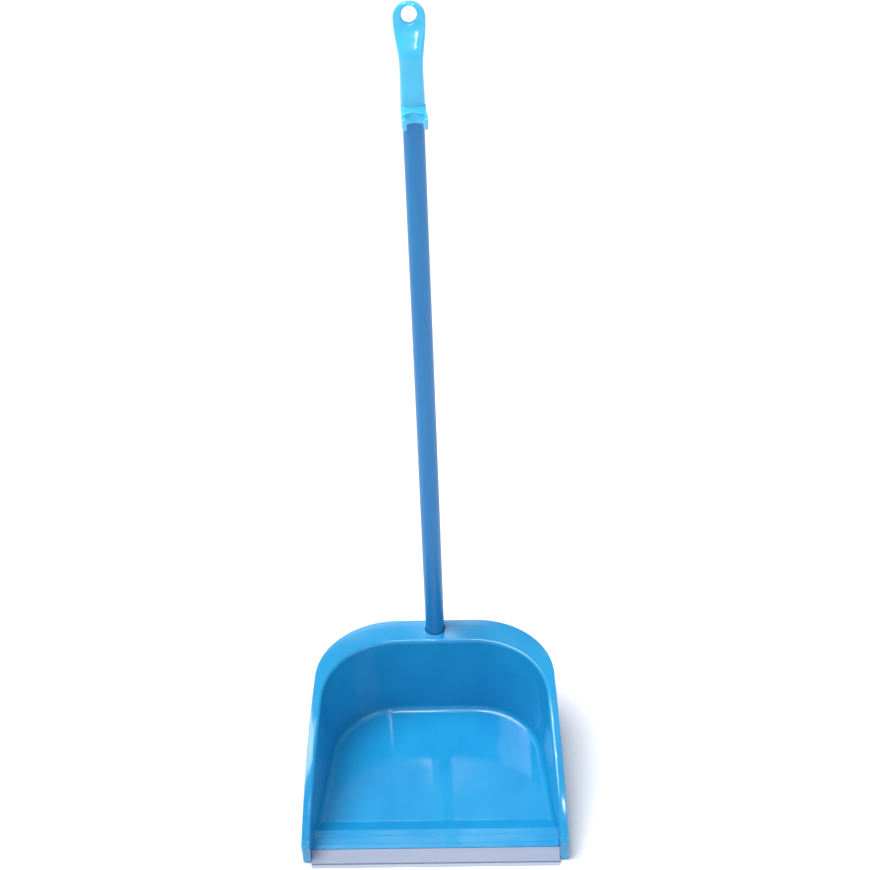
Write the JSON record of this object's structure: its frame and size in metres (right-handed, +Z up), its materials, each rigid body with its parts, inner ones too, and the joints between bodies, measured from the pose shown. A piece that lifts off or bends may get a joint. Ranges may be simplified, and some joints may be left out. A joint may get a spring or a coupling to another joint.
{
  "type": "long-handled dustpan",
  "caption": "Long-handled plastic dustpan with a sloping rim, a clip-on lip with a soft wiper blade, a push-in tube handle, and a grip with a hanging hole and a broom clip.",
  "frame": {"origin": "middle of the scoop's underside, on the floor, halfway between the wiper's tip and the rear edge of the rim", "axes": "+Z up along the standing handle's side, +Y from the lip towards the rear wall, +X to the right seen from the lip"},
  "size_m": [0.2944, 0.3475, 0.859],
  "materials": {
    "pan_plastic": "glossy injection-moulded polypropylene, sky blue",
    "grip_plastic": "glossy injection-moulded polypropylene, light sky blue",
    "sleeve_plastic": "satin plastic skin, mid blue",
    "lip_plastic": "satin extruded plastic, pale lavender grey",
    "wiper_rubber": "soft extruded rubber, paler lavender grey",
    "tube_steel": "thin drawn steel",
    "plug_plastic": "dark moulded plastic"
  },
  "bodies": {
    "pan": {"pan": "pan_plastic", "lip_channel": "lip_plastic"},
    "wiper": {"wiper_blade": "wiper_rubber"},
    "handle": {"steel_tube": "tube_steel", "tube_sleeve": "sleeve_plastic", "tube_end_plug": "plug_plastic"},
    "grip": {"grip": "grip_plastic"}
  },
  "joints": [
    {"name": "wiper_flex", "type": "hinge", "parent": "pan", "child": "wiper", "pos_m": [0, -0.13203, 0.00285], "axis": [-1, 0, 0], "range_deg": [0, 10], "stiffness_Nm_per_rad": 0.05},
    {"name": "handle_pull", "type": "slide", "parent": "pan", "child": "handle", "axis": [0, 0.0993, 0.9951], "range_m": [0, 0.1]},
    {"name": "grip_turn", "type": "hinge", "parent": "handle", "child": "grip", "pos_m": [0, 0.18812, 0.74385], "axis": [0, 0.0993, 0.9951], "continuous": true}
  ]
}
